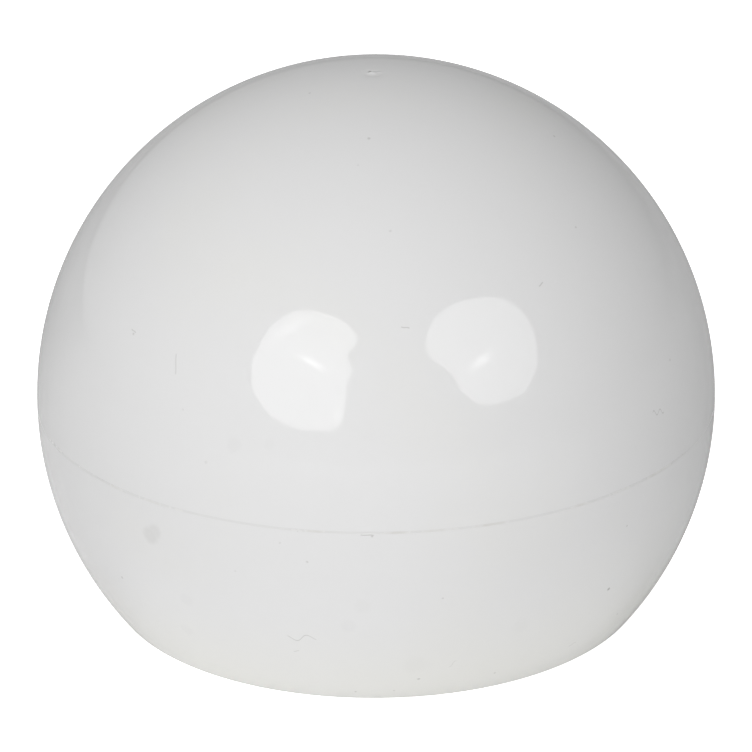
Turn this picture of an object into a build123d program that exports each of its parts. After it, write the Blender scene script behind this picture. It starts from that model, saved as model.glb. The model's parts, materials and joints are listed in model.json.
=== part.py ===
from build123d import *
import os
from math import asin, degrees, sqrt

# Ball cap for a round fence post: an upper and a lower shell, bonded along the ball's
# equator, hold a cup-shaped socket that the post's top end is pushed into.
#
# Millimetres, +Z up. The origin is on the ball's axis, in the plane of the bottom rim.
# -Y is the front. The post comes in from below, along +Z.

# ---- driving dimensions -------------------------------------------------------------

post_diameter = 60.3        # round steel tube, 2 3/8 in
ball_margin = 11.85         # from the post's surface out to the ball's, at the equator

# Shells
shell_wall = 2.4
rim_land = 2.4              # width of the rim in its own plane, mouth to outside
rim_round = 0.8             # fillet on the rim's outer edge
mouth_chamfer = 0.6

# Lap joint at the equator: a spigot on the lower shell inside a rebate in the upper one
lap_height = 3.0
lap_gap = 0.1               # between spigot and rebate, all round and above
groove_half_height = 0.16   # the V left open along the outside of the joint
groove_depth = 0.14
cement_recess = 0.05        # how far the cement stays below the ball's surface

# Post socket
guide_gap = 0.45            # radial, post to the guide band and to the mouth below it
guide_length = 16.0
relief = 0.4                # radial, from the guide band out to the wall between the ribs
socket_wall = 1.6           # behind the relief
end_plate = 2.4
seat_gap = 0.1              # socket to shells, sideways and along the axis
socket_lead_in = 0.6        # chamfer at the guide band's lower end
socket_shoulder = 1.0       # chamfer round the top

# Crush ribs inside the socket
rib_count = 12
rib_bite = 0.15             # radial, how far a rib's tip is inside the post's surface
rib_width = 1.8
rib_ramp = 4.0              # length of the sloping lead-in of each rib
rib_start = 2.0             # from the guide band up to the ramp

# Fins on the socket stand in forks on the lower shell and stop it turning
fin_count = 6
fin_width = 2.0
fin_depth = 3.0
fork_width = 1.5
fork_top_drop = 4.0         # from the equator down to the forks' and fins' top

# Webs under the dome carry a mallet's blow to the socket's end plate
web_count = 6
web_width = 1.6
hub_radius = 7.0
hub_wall = 1.6

# Marks left by the moulding tools
gate_dish_radius = 1.3      # dished spot at the ball's pole
gate_dish_depth = 0.15
gate_nub_radius = 0.5
gate_nub_height = 0.3
ejector_count = 4
ejector_radius = 3.0
ejector_circle = 18.0       # radius of the circle that the ejector marks are on
ejector_depth = 0.2

# ---- derived sizes ------------------------------------------------------------------

post_radius = post_diameter / 2
ball_radius = post_radius + ball_margin
inner_radius = ball_radius - shell_wall
mid_radius = ball_radius - shell_wall / 2       # ribs and webs run into the shells this far

guide_radius = post_radius + guide_gap          # the mouth in the lower shell has it too
rim_radius = guide_radius + rim_land
equator = sqrt(ball_radius**2 - rim_radius**2)  # height of the ball's centre above the rim

spigot_outer = inner_radius + (shell_wall - lap_gap) / 2
rebate_radius = spigot_outer + lap_gap

relief_radius = guide_radius + relief
rib_tip_radius = post_radius - rib_bite
socket_outer = relief_radius + socket_wall
pocket_radius = socket_outer + seat_gap         # room that the shells leave for the socket


def half_height(sphere, radius):
    """How far above the ball's centre a sphere is `radius` wide."""
    return sqrt(sphere**2 - radius**2)


pocket_half = half_height(inner_radius, pocket_radius)
seat = equator - pocket_half                    # ledge that the socket stands on
socket_top = equator + pocket_half - seat_gap
stop = socket_top - end_plate                   # the post's end comes up to here
guide_top = seat + guide_length
fork_top = equator - fork_top_drop
fin_outer = socket_outer + fin_depth
fin_bottom = equator - half_height(inner_radius, fin_outer + seat_gap)
web_bottom = socket_top + seat_gap


def sphere_arc(sphere, low, high):
    """Arc in the XZ plane, round the ball's centre, between two heights above that centre."""
    start = degrees(asin(low / sphere))
    end = degrees(asin(high / sphere))
    return CenterArc((0, equator), sphere, start, end - start)


def radial_planes(count, first=0.0, aside=0.0):
    """Upright planes through the axis, evenly spaced, each moved `aside` along its normal."""
    step = 360 / count
    return [
        Plane.XZ.rotated((0, 0, first + step * i)).offset(aside) for i in range(count)
    ]


def write(solid, name):
    """Labels a finished piece and writes its STEP file."""
    solid.label = name
    export_step(solid, f"parts/{name}.step")


os.makedirs("parts", exist_ok=True)

# ---- upper shell: dome, rebate, webs and hub ----------------------------------------

dish_edge = half_height(ball_radius, gate_dish_radius)
dish_floor = equator + ball_radius - gate_dish_depth
rebate_height = lap_height + lap_gap

with BuildPart() as upper_shell:
    with BuildSketch(Plane.XZ):
        with BuildLine():
            outside = sphere_arc(ball_radius, groove_half_height, dish_edge)
            inside = sphere_arc(inner_radius, rebate_height, inner_radius)
            Polyline(
                outside @ 1,
                (gate_dish_radius, dish_floor),
                (gate_nub_radius, dish_floor),
                (gate_nub_radius, dish_floor + gate_nub_height),
                (0, dish_floor + gate_nub_height),
                inside @ 1,
            )
            Polyline(
                inside @ 0,
                (rebate_radius, equator + rebate_height),
                (rebate_radius, equator),
                (ball_radius - groove_depth, equator),
                outside @ 0,
            )
        make_face()
    revolve(axis=Axis.Z)

    hub_middle = hub_radius - hub_wall / 2
    with BuildSketch(*radial_planes(web_count)):
        with BuildLine():
            vault = sphere_arc(
                mid_radius, web_bottom - equator, half_height(mid_radius, hub_middle)
            )
            Polyline(vault @ 1, (hub_middle, web_bottom), vault @ 0)
        make_face()
    extrude(amount=web_width / 2, both=True)

    with BuildSketch(Plane.XZ):
        with BuildLine():
            crown = sphere_arc(
                mid_radius,
                half_height(mid_radius, hub_radius),
                half_height(mid_radius, hub_radius - hub_wall),
            )
            Polyline(
                crown @ 1,
                (hub_radius - hub_wall, web_bottom),
                (hub_radius, web_bottom),
                crown @ 0,
            )
        make_face()
    revolve(axis=Axis.Z)

write(upper_shell.part, "upper_shell")

# ---- lower shell: bowl, rim, ledge, spigot and forks --------------------------------

fork_aside = (fin_width + fork_width) / 2 + seat_gap

with BuildPart() as lower_shell:
    with BuildSketch(Plane.XZ):
        with BuildLine():
            outside = sphere_arc(ball_radius, -equator, -groove_half_height)
            inside = sphere_arc(inner_radius, -pocket_half, 0)
            Polyline(
                outside @ 1,
                (ball_radius - groove_depth, equator),
                (spigot_outer, equator),
                (spigot_outer, equator + lap_height),
                (inner_radius, equator + lap_height),
                inside @ 1,
            )
            Polyline(
                inside @ 0,
                (guide_radius, seat),
                (guide_radius, mouth_chamfer),
                (guide_radius + mouth_chamfer, 0),
                outside @ 0,
            )
        make_face()
    revolve(axis=Axis.Z)

    rim_edge = lower_shell.edges().group_by(Axis.Z)[0].sort_by(SortBy.LENGTH)[-1]
    fillet(rim_edge, rim_round)

    fork_planes = radial_planes(fin_count, aside=fork_aside)
    fork_planes += radial_planes(fin_count, aside=-fork_aside)
    with BuildSketch(*fork_planes):
        with BuildLine():
            wall = sphere_arc(mid_radius, -pocket_half, -fork_top_drop)
            Polyline(
                wall @ 1,
                (pocket_radius, fork_top),
                (pocket_radius, seat),
                wall @ 0,
            )
        make_face()
    extrude(amount=fork_width / 2, both=True)

write(lower_shell.part, "lower_shell")

# ---- post socket: cup with a guide band, crush ribs and outside fins ----------------

rib_foot = guide_top + rib_start
rib_root = relief_radius + socket_wall / 2
first_rib = 180 / rib_count

with BuildPart() as post_socket:
    with BuildSketch(Plane.XZ):
        with BuildLine():
            Polyline(
                (0, stop),
                (relief_radius, stop),
                (relief_radius, guide_top),
                (guide_radius, guide_top),
                (guide_radius, seat + socket_lead_in),
                (guide_radius + socket_lead_in, seat),
                (socket_outer, seat),
                (socket_outer, socket_top - socket_shoulder),
                (socket_outer - socket_shoulder, socket_top),
                (0, socket_top),
                close=True,
            )
        make_face()
    revolve(axis=Axis.Z)

    with BuildSketch(*radial_planes(rib_count, first=first_rib)):
        with BuildLine():
            Polyline(
                (rib_root, rib_foot),
                (relief_radius, rib_foot),
                (rib_tip_radius, rib_foot + rib_ramp),
                (rib_tip_radius, stop),
                (rib_root, stop),
                close=True,
            )
        make_face()
    extrude(amount=rib_width / 2, both=True)

    with BuildSketch(*radial_planes(fin_count)):
        with BuildLine():
            Polyline(
                (rib_root, fin_bottom),
                (fin_outer, fin_bottom),
                (fin_outer, fork_top),
                (rib_root, fork_top),
                close=True,
            )
        make_face()
    extrude(amount=fin_width / 2, both=True)

    with BuildSketch(Plane.XY.offset(stop)):
        with PolarLocations(ejector_circle, ejector_count, start_angle=45):
            Circle(ejector_radius)
    extrude(amount=ejector_depth, mode=Mode.SUBTRACT)

write(post_socket.part, "post_socket")

# ---- cement that fills the V along the joint ----------------------------------------

cement_face = ball_radius - cement_recess
cement_half_height = (
    groove_half_height * (groove_depth - cement_recess) / groove_depth
)

with BuildPart() as seam_cement:
    with BuildSketch(Plane.XZ):
        with BuildLine():
            Polyline(
                (ball_radius - groove_depth, equator),
                (cement_face, equator - cement_half_height),
                (cement_face, equator + cement_half_height),
                close=True,
            )
        make_face()
    revolve(axis=Axis.Z)

write(seam_cement.part, "seam_cement")

print(
    f"ball {2 * ball_radius:.2f} across, equator at {equator:.3f}, "
    f"top at {equator + ball_radius:.3f}, rim {2 * rim_radius:.2f} across"
)
print(
    f"socket from {seat:.3f} to {socket_top:.3f}, guide band r {guide_radius:.3f} "
    f"up to {guide_top:.3f}, stop at {stop:.3f}"
)
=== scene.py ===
"""Looks of a ball-shaped cap for a round fence post.

Two glossy shells meet at the ball's equator, where a thin ring of set cement fills the joint,
and they hold a satin cup that the post's top end is pushed into.

Metres throughout, in the part's own frame: +Z up, the origin on the ball's axis in the plane of
the rim, -Y to the front. Directions are given as an azimuth, 0 at the front and growing towards
+X, and an elevation above the horizon, both in degrees.
"""

import json
import logging
import math
from collections.abc import Callable, Sequence
from dataclasses import dataclass, field
from enum import Enum
from typing import Any, ClassVar

import bmesh
import bpy
from mathutils import Matrix, Vector, noise


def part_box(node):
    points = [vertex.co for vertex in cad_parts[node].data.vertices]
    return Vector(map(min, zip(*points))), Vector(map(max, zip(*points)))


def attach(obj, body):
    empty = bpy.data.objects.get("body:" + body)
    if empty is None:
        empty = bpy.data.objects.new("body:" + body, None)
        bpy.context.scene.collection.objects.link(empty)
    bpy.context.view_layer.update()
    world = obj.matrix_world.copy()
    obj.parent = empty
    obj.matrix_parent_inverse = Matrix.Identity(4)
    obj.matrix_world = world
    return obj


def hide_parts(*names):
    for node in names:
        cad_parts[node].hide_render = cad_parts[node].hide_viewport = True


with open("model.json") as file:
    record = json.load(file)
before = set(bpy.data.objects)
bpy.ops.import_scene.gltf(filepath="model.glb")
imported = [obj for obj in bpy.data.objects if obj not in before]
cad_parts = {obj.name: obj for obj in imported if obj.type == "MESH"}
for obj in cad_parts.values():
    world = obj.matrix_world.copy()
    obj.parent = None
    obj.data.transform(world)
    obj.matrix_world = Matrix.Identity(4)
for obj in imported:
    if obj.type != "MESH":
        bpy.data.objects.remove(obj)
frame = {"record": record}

log = logging.getLogger("post_cap")

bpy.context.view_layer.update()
MM = 0.001
MERGE = 0.0001 * MM
NEAR = 0.01 * MM
MOUTH_CHAMFER = 0.6 * MM

Triple = tuple[float, float, float]
Colour = Triple
Pair = tuple[float, float]
Point = Pair


# ---- places and sizes ---------------------------------------------------------------


def direction(azimuth: float, elevation: float) -> Vector:
    """Unit vector that points out from the ball's centre.

    Args:
        azimuth: degrees round the axis, 0 at the front, growing towards +X.
        elevation: degrees above the horizon.

    Returns:
        The unit vector.
    """
    a, e = math.radians(azimuth), math.radians(elevation)
    return Vector((math.sin(a) * math.cos(e), -math.cos(a) * math.cos(e), math.sin(e)))


@dataclass(frozen=True)
class CapSizes:
    """Sizes that the pieces share, in metres."""

    ball: float
    equator: float
    rim: float
    bore: float
    guide_top: float
    stop: float
    seat: float
    socket_top: float
    fin_outer: float
    top: float

    wall: float = 2.4 * MM
    lap_height: float = 3.0 * MM
    lap_gap: float = 0.1 * MM
    groove_half_height: float = 0.16 * MM
    groove_depth: float = 0.14 * MM
    socket_wall: float = 1.6 * MM
    relief: float = 0.4 * MM
    seat_gap: float = 0.1 * MM
    fork_top_drop: float = 4.0 * MM
    fin_width: float = 2.0 * MM

    @classmethod
    def from_frame(cls, record: dict[str, Any]) -> "CapSizes":
        """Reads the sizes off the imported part.

        Args:
            record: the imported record, whose mounts give the bore and the stop.

        Returns:
            The sizes.
        """
        mounts = {mount["name"]: mount for mount in record["mounts"]}
        bore, stop = mounts["post_bore"], mounts["post_stop"]
        upper_low, upper_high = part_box("upper_shell")
        socket_low, socket_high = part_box("post_socket")
        ball, equator = upper_high.x, upper_low.z
        reach = bore["dims"]["length_mm"] * MM
        return cls(
            ball=ball,
            equator=equator,
            rim=math.sqrt(ball**2 - equator**2),
            bore=bore["dims"]["r_mm"] * MM,
            guide_top=reach + MOUTH_CHAMFER,
            stop=stop["pos_m"][2],
            seat=socket_low.z,
            socket_top=socket_high.z,
            fin_outer=socket_high.x,
            top=upper_high.z,
        )

    @property
    def centre(self) -> Vector:
        """The ball's centre."""
        return Vector((0, 0, self.equator))

    @property
    def inner(self) -> float:
        """Radius of the shells' inside."""
        return self.ball - self.wall

    @property
    def middle(self) -> float:
        """Radius that webs and forks run up to, halfway into the shells' wall."""
        return self.ball - self.wall / 2

    @property
    def spigot(self) -> float:
        """Outer radius of the lower shell's spigot."""
        return self.inner + (self.wall - self.lap_gap) / 2

    @property
    def relieved(self) -> float:
        """Radius of the socket's inside between its ribs."""
        return self.bore + self.relief

    @property
    def socket_outer(self) -> float:
        """Outer radius of the socket's wall."""
        return self.relieved + self.socket_wall

    def height_at(self, sphere: float, radius: float) -> float:
        """How far above the ball's centre a sphere is `radius` wide."""
        return math.sqrt(sphere**2 - radius**2)


# ---- mesh work ----------------------------------------------------------------------


def link(made: bpy.types.Object) -> bpy.types.Object:
    """Puts an object in the scene."""
    bpy.context.scene.collection.objects.link(made)
    return made


class Turned:
    """A mesh in the making: an outline turned round the axis, with plates fused to it."""

    def __init__(self) -> None:
        """Starts with nothing in it."""
        self.bm = bmesh.new()

    def turn(self, outline: Sequence[Point], steps: int, closed: bool) -> "Turned":
        """Turns an outline of (radius, height) points a full turn round the axis.

        Args:
            outline: the points, in order.
            steps: how many pieces the turn is cut into.
            closed: whether the last point joins the first.

        Returns:
            This mesh.
        """
        verts = [self.bm.verts.new((radius, 0, height)) for radius, height in outline]
        pairs = list(zip(verts, verts[1:]))
        if closed:
            pairs.append((verts[-1], verts[0]))
        edges = [self.bm.edges.new(pair) for pair in pairs]
        bmesh.ops.spin(
            self.bm,
            geom=verts + edges,
            cent=(0, 0, 0),
            axis=(0, 0, 1),
            dvec=(0, 0, 0),
            angle=math.tau,
            steps=steps,
            use_merge=True,
        )
        return self.clean()

    def plate(self, outline: Sequence[Point], thickness: float, aside: float = 0.0) -> "Turned":
        """Adds an upright plate that stands on edge in the XZ plane.

        Args:
            outline: (radius, height) points round the plate.
            thickness: of the plate, half to each side.
            aside: how far the plate's middle is moved along Y.

        Returns:
            This mesh.
        """
        start = aside - thickness / 2
        verts = [self.bm.verts.new((radius, start, height)) for radius, height in outline]
        face = self.bm.faces.new(verts)
        made = bmesh.ops.extrude_face_region(self.bm, geom=[face])["geom"]
        moved = [v for v in made if isinstance(v, bmesh.types.BMVert)]
        bmesh.ops.translate(self.bm, verts=moved, vec=(0, thickness, 0))
        return self

    def post(self, radius: float, low: float, high: float, at: Vector) -> "Turned":
        """Adds an upright round post.

        Args:
            radius: of the post.
            low: height of its foot.
            high: height of its top.
            at: its place in plan.

        Returns:
            This mesh.
        """
        made = bmesh.ops.create_cone(
            self.bm,
            cap_ends=True,
            segments=64,
            radius1=radius,
            radius2=radius,
            depth=high - low,
        )["verts"]
        bmesh.ops.translate(self.bm, verts=made, vec=(at.x, at.y, (low + high) / 2))
        return self

    def round_edges(
        self, chosen: Callable[[bmesh.types.BMEdge], bool], width: float, segments: int = 3
    ) -> "Turned":
        """Rounds the edges that a test picks.

        Args:
            chosen: says whether an edge is rounded.
            width: how far each side of the edge the rounding starts.
            segments: how many strips it has.

        Returns:
            This mesh.
        """
        bmesh.ops.bevel(
            self.bm,
            geom=[edge for edge in self.bm.edges if chosen(edge)],
            offset=width,
            offset_type="OFFSET",
            affect="EDGES",
            segments=segments,
            profile=0.5,
            material=-1,
        )
        return self

    def repeat(self, count: int, first: float = 0.0) -> "Turned":
        """Turns everything so far, and copies it evenly round the axis.

        Args:
            count: how many there are in the end.
            first: degrees that the first one is turned by.

        Returns:
            This mesh.
        """
        everything = self.bm.verts[:] + self.bm.edges[:] + self.bm.faces[:]
        bmesh.ops.rotate(
            self.bm,
            verts=self.bm.verts[:],
            cent=(0, 0, 0),
            matrix=Matrix.Rotation(math.radians(first), 3, "Z"),
        )
        bmesh.ops.spin(
            self.bm,
            geom=everything,
            cent=(0, 0, 0),
            axis=(0, 0, 1),
            dvec=(0, 0, 0),
            angle=math.tau * (count - 1) / count,
            steps=count - 1,
            use_duplicate=True,
        )
        return self

    def clean(self) -> "Turned":
        """Merges doubled points and points every face outwards."""
        bmesh.ops.remove_doubles(self.bm, verts=self.bm.verts[:], dist=MERGE)
        bmesh.ops.recalc_face_normals(self.bm, faces=self.bm.faces[:])
        return self

    def push(self, shift: Callable[[Vector], Vector]) -> "Turned":
        """Moves every point by what `shift` gives for it."""
        for vert in self.bm.verts:
            vert.co += shift(vert.co)
        return self

    def object(self, name: str) -> bpy.types.Object:
        """Hands the mesh over as a Blender object at the origin."""
        mesh = bpy.data.meshes.new(name)
        self.bm.to_mesh(mesh)
        self.bm.free()
        return link(bpy.data.objects.new(name, mesh))


def fuse(piece: bpy.types.Object, tool: bpy.types.Object, how: str = "UNION") -> None:
    """Fuses a tool into a piece, or cuts it out, and throws the tool away.

    Args:
        piece: the object that is changed.
        tool: the object that is used up.
        how: Blender's name of the operation.
    """
    cut = piece.modifiers.new("fuse", "BOOLEAN")
    cut.operation = how
    cut.solver = "EXACT"
    cut.object = tool
    bpy.context.view_layer.update()
    done = piece.evaluated_get(bpy.context.evaluated_depsgraph_get())
    mesh = bpy.data.meshes.new_from_object(done)
    piece.modifiers.clear()
    old, piece.data = piece.data, mesh
    bpy.data.meshes.remove(old)
    bpy.data.objects.remove(tool)


def smooth(piece: bpy.types.Object, sharp_angle: float = 32.0) -> None:
    """Shades a piece smooth, with edges sharp past an angle in degrees."""
    mesh = piece.data
    mesh.shade_smooth()
    mesh.set_sharp_from_angle(angle=math.radians(sharp_angle))
    mesh.update()


def arc(centre_height: float, radius: float, start: float, end: float, steps: int) -> list[Point]:
    """Points on an arc about a centre on the axis.

    Args:
        centre_height: height of the centre.
        radius: of the arc.
        start: angle above the horizon that it starts at, in radians.
        end: angle that it ends at.
        steps: how many runs it is cut into.

    Returns:
        (radius, height) points, both ends included.
    """
    angles = [start + (end - start) * i / steps for i in range(steps + 1)]
    return [(radius * math.cos(a), centre_height + radius * math.sin(a)) for a in angles]


# ---- shader graphs ------------------------------------------------------------------


class Graph:
    """Adds nodes to a tree and wires them."""

    def __init__(self, tree: bpy.types.NodeTree) -> None:
        """Takes the tree that the nodes go into."""
        self.tree = tree

    def feed(self, socket: bpy.types.NodeSocket, value: Any) -> None:
        """Wires another node's socket to an input, or sets the input's own value.

        Args:
            socket: the input.
            value: the other node's socket, or the value.
        """
        if isinstance(value, bpy.types.NodeSocket):
            self.tree.links.new(value, socket)
        else:
            socket.default_value = value

    def add(
        self, kind: str, inputs: dict[Any, Any] | None = None, **settings: Any
    ) -> bpy.types.Node:
        """Adds a node.

        Args:
            kind: the node's type, such as "ShaderNodeBump".
            inputs: values or other nodes' sockets, by the input's name or number.
            settings: the node's own properties.

        Returns:
            The node.
        """
        node = self.tree.nodes.new(kind)
        for name, value in settings.items():
            setattr(node, name, value)
        for key, value in (inputs or {}).items():
            self.feed(node.inputs[key], value)
        return node

    def math(self, operation: str, *values: Any, clamp: bool = False) -> bpy.types.NodeSocket:
        """Adds a Math node and returns its result."""
        node = self.add("ShaderNodeMath", dict(enumerate(values)), operation=operation)
        node.use_clamp = clamp
        return node.outputs[0]

    def step(self, value: Any, low: Any, high: Any) -> bpy.types.NodeSocket:
        """A smooth rise from 0 at `low` to 1 at `high`, or a fall where low is the larger."""
        node = self.add(
            "ShaderNodeMapRange",
            {"Value": value, "From Min": low, "From Max": high},
            interpolation_type="SMOOTHSTEP",
        )
        return node.outputs["Result"]

    def noise(
        self, vector: Any, scale: Any, detail: float = 2.0, rough: float = 0.5
    ) -> bpy.types.NodeSocket:
        """Noise between 0 and 1 at so many features a metre."""
        node = self.add(
            "ShaderNodeTexNoise",
            {"Vector": vector, "Scale": scale, "Detail": detail, "Roughness": rough},
        )
        return node.outputs["Fac"]

    def mix(self, share: Any, first: Any, second: Any, blend: str = "MIX") -> bpy.types.NodeSocket:
        """Mixes two colours.

        Args:
            share: how much of the second there is.
            first: a socket, or red, green and blue.
            second: the same.
            blend: Blender's name of the way to mix them.

        Returns:
            The mixed colour's socket.
        """
        node = self.add("ShaderNodeMix", {0: share}, data_type="RGBA", blend_type=blend)
        for key, value in ((6, first), (7, second)):
            wired = isinstance(value, bpy.types.NodeSocket)
            self.feed(node.inputs[key], value if wired else (*value, 1.0))
        return node.outputs[2]


def blank(owner: bpy.types.Material | bpy.types.World) -> Graph:
    """Takes all nodes out of a material or world and returns its graph."""
    owner.use_nodes = True
    owner.node_tree.nodes.clear()
    return Graph(owner.node_tree)


class Effect:
    """A shader node group that is built once and placed in each material that shows it."""

    name: ClassVar[str]
    takes: ClassVar[dict[str, tuple[str, Any]]]
    gives: ClassVar[dict[str, str]]

    def build(self, graph: Graph, given: Any) -> dict[str, bpy.types.NodeSocket]:
        """Builds the group's inside.

        Args:
            graph: the group's own tree.
            given: its inputs' sockets, by name.

        Returns:
            The sockets that feed its outputs, by name.
        """
        raise NotImplementedError

    def tree(self) -> bpy.types.NodeTree:
        """Finds the group, or builds it the first time that it is wanted."""
        found = bpy.data.node_groups.get(self.name)
        if found:
            return found
        tree = bpy.data.node_groups.new(self.name, "ShaderNodeTree")
        for name, (kind, default) in self.takes.items():
            socket = tree.interface.new_socket(name, in_out="INPUT", socket_type=kind)
            if default is not None:
                socket.default_value = default
        for name, kind in self.gives.items():
            tree.interface.new_socket(name, in_out="OUTPUT", socket_type=kind)
        graph = Graph(tree)
        given = graph.add("NodeGroupInput").outputs
        graph.add("NodeGroupOutput", self.build(graph, given))
        return tree

    def place(self, graph: Graph, **inputs: Any) -> Any:
        """Places the group in a material and returns its outputs.

        Args:
            graph: the material's tree.
            inputs: values or sockets, by the input's name with _ for a space.
        """
        node = graph.add("ShaderNodeGroup", node_tree=self.tree())
        for name, value in inputs.items():
            graph.feed(node.inputs[name.replace("_", " ")], value)
        return node.outputs


FLOAT, VECTOR, COLOUR = "NodeSocketFloat", "NodeSocketVector", "NodeSocketColor"


class MouldSkin(Effect):
    """The slow waves and fine peel that a polished mould leaves on plastic."""

    name = "mould skin"
    takes = {
        "Vector": (VECTOR, None),
        "Wave Scale": (FLOAT, 60.0),
        "Peel Scale": (FLOAT, 900.0),
        "Peel": (FLOAT, 0.1),
    }
    gives = {"Height": FLOAT}

    def build(self, graph: Graph, given: Any) -> dict[str, bpy.types.NodeSocket]:
        """Slow waves with a little fine peel on them."""
        waves = graph.noise(given["Vector"], given["Wave Scale"], detail=1.0)
        peel = graph.noise(given["Vector"], given["Peel Scale"], detail=2.0)
        return {"Height": graph.math("MULTIPLY_ADD", peel, given["Peel"], waves)}


class Hairlines(Effect):
    """Faint scratches from handling, in three directions."""

    turns: ClassVar[tuple[Triple, ...]] = ((0.3, 0.9, 0.4), (1.9, 0.2, 2.4), (2.8, 1.3, 0.7))
    crest_width: ClassVar[float] = 0.006
    patch_scale: ClassVar[float] = 70.0
    patch_scale_step: ClassVar[float] = 15.0

    name = "hairlines"
    takes = {
        "Vector": (VECTOR, None),
        "Scale": (FLOAT, 300.0),
        "Length": (FLOAT, 14.0),
        "Cover": (FLOAT, 0.3),
    }
    gives = {"Mask": FLOAT}

    def build(self, graph: Graph, given: Any) -> dict[str, bpy.types.NodeSocket]:
        """Narrow crests of stretched noise, kept only where a patchy noise lets them."""
        total: Any = 0.0
        run = graph.math("DIVIDE", 1.0, given["Length"])
        stretch = graph.add("ShaderNodeCombineXYZ", {"X": 1.0, "Y": run, "Z": 1.0}).outputs[0]
        for index, turn in enumerate(self.turns):
            turned = graph.add(
                "ShaderNodeMapping", {"Vector": given["Vector"], "Rotation": turn}
            ).outputs[0]
            drawn = graph.add(
                "ShaderNodeVectorMath", {0: turned, 1: stretch}, operation="MULTIPLY"
            ).outputs[0]
            value = graph.noise(drawn, given["Scale"], detail=1.0)
            off = graph.math("ABSOLUTE", graph.math("SUBTRACT", value, 0.5))
            crest = graph.step(off, self.crest_width, 0.0)
            scale = self.patch_scale + self.patch_scale_step * index
            patch = graph.noise(turned, scale, detail=0.0)
            kept = graph.step(patch, graph.math("SUBTRACT", 1.0, given["Cover"]), 1.0)
            total = graph.math("MULTIPLY_ADD", crest, kept, total)
        return {"Mask": graph.math("MINIMUM", total, 1.0)}


class Dust(Effect):
    """Sparse fine specks."""

    smallest: ClassVar[float] = 0.5
    soft_from: ClassVar[float] = 0.4

    name = "dust"
    takes = {
        "Vector": (VECTOR, None),
        "Scale": (FLOAT, 160.0),
        "Size": (FLOAT, 0.012),
        "Share": (FLOAT, 0.05),
    }
    gives = {"Mask": FLOAT}

    def build(self, graph: Graph, given: Any) -> dict[str, bpy.types.NodeSocket]:
        """One dot in a few of the cells of a cell pattern, each a different size."""
        cells = graph.add(
            "ShaderNodeTexVoronoi", {"Vector": given["Vector"], "Scale": given["Scale"]}
        )
        lot = graph.add("ShaderNodeSeparateColor", {"Color": cells.outputs["Color"]}).outputs
        size = graph.math("MULTIPLY", given["Size"], graph.math("ADD", self.smallest, lot["Green"]))
        full = graph.math("MULTIPLY", size, self.soft_from)
        dot = graph.step(cells.outputs["Distance"], size, full)
        drawn = graph.math("LESS_THAN", lot["Red"], given["Share"])
        return {"Mask": graph.math("MULTIPLY", dot, drawn)}


class Spot(Effect):
    """One uneven round spot on the surface."""

    name = "spot"
    takes = {
        "Vector": (VECTOR, None),
        "Centre": (VECTOR, None),
        "Radius": (FLOAT, 0.001),
        "Blur": (FLOAT, 0.4),
        "Bend": (FLOAT, 0.0),
    }
    gives = {"Mask": FLOAT}

    def build(self, graph: Graph, given: Any) -> dict[str, bpy.types.NodeSocket]:
        """Distance from the centre over the radius, with the outline bent."""
        away = graph.add(
            "ShaderNodeVectorMath", {0: given["Vector"], 1: given["Centre"]}, operation="DISTANCE"
        ).outputs["Value"]
        share = graph.math("DIVIDE", away, given["Radius"])
        bent = graph.math("ADD", share, given["Bend"])
        inside = graph.math("SUBTRACT", 1.0, given["Blur"])
        return {"Mask": graph.step(bent, 1.0, inside)}


class Fibre(Effect):
    """One stray fibre that lies on the surface in a wavy line."""

    core: ClassVar[float] = 0.3
    half_length: ClassVar[float] = 0.5
    full_until: ClassVar[float] = 0.42

    name = "fibre"
    takes = {
        "Vector": (VECTOR, None),
        "Turn": (FLOAT, 0.0),
        "Length": (FLOAT, 0.003),
        "Sway": (FLOAT, 0.0003),
        "Waves": (FLOAT, 1.5),
        "Width": (FLOAT, 0.0001),
        "Reach": (FLOAT, 0.0415),
    }
    gives = {"Mask": FLOAT}

    def build(self, graph: Graph, given: Any) -> dict[str, bpy.types.NodeSocket]:
        """Distance from a sine along local X, only on the ball's outside and in front."""
        turned = graph.add(
            "ShaderNodeVectorRotate",
            {"Vector": given["Vector"], "Axis": (0, 1, 0), "Angle": given["Turn"]},
        )
        axes = graph.add("ShaderNodeSeparateXYZ", {0: turned.outputs[0]}).outputs
        along = graph.math("DIVIDE", axes["X"], given["Length"])
        phase = graph.math("MULTIPLY", along, graph.math("MULTIPLY", given["Waves"], math.tau))
        bend = graph.math("MULTIPLY", graph.math("SINE", phase), given["Sway"])
        off = graph.math("ABSOLUTE", graph.math("SUBTRACT", axes["Z"], bend))
        body = graph.step(off, given["Width"], graph.math("MULTIPLY", given["Width"], self.core))
        ends = graph.step(graph.math("ABSOLUTE", along), self.half_length, self.full_until)
        away = graph.add("ShaderNodeVectorMath", {0: given["Vector"]}, operation="LENGTH").outputs
        outside = graph.math("GREATER_THAN", away["Value"], given["Reach"])
        front = graph.math("MULTIPLY", graph.math("LESS_THAN", axes["Y"], 0.0), outside)
        return {"Mask": graph.math("MULTIPLY", graph.math("MULTIPLY", body, ends), front)}


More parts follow.
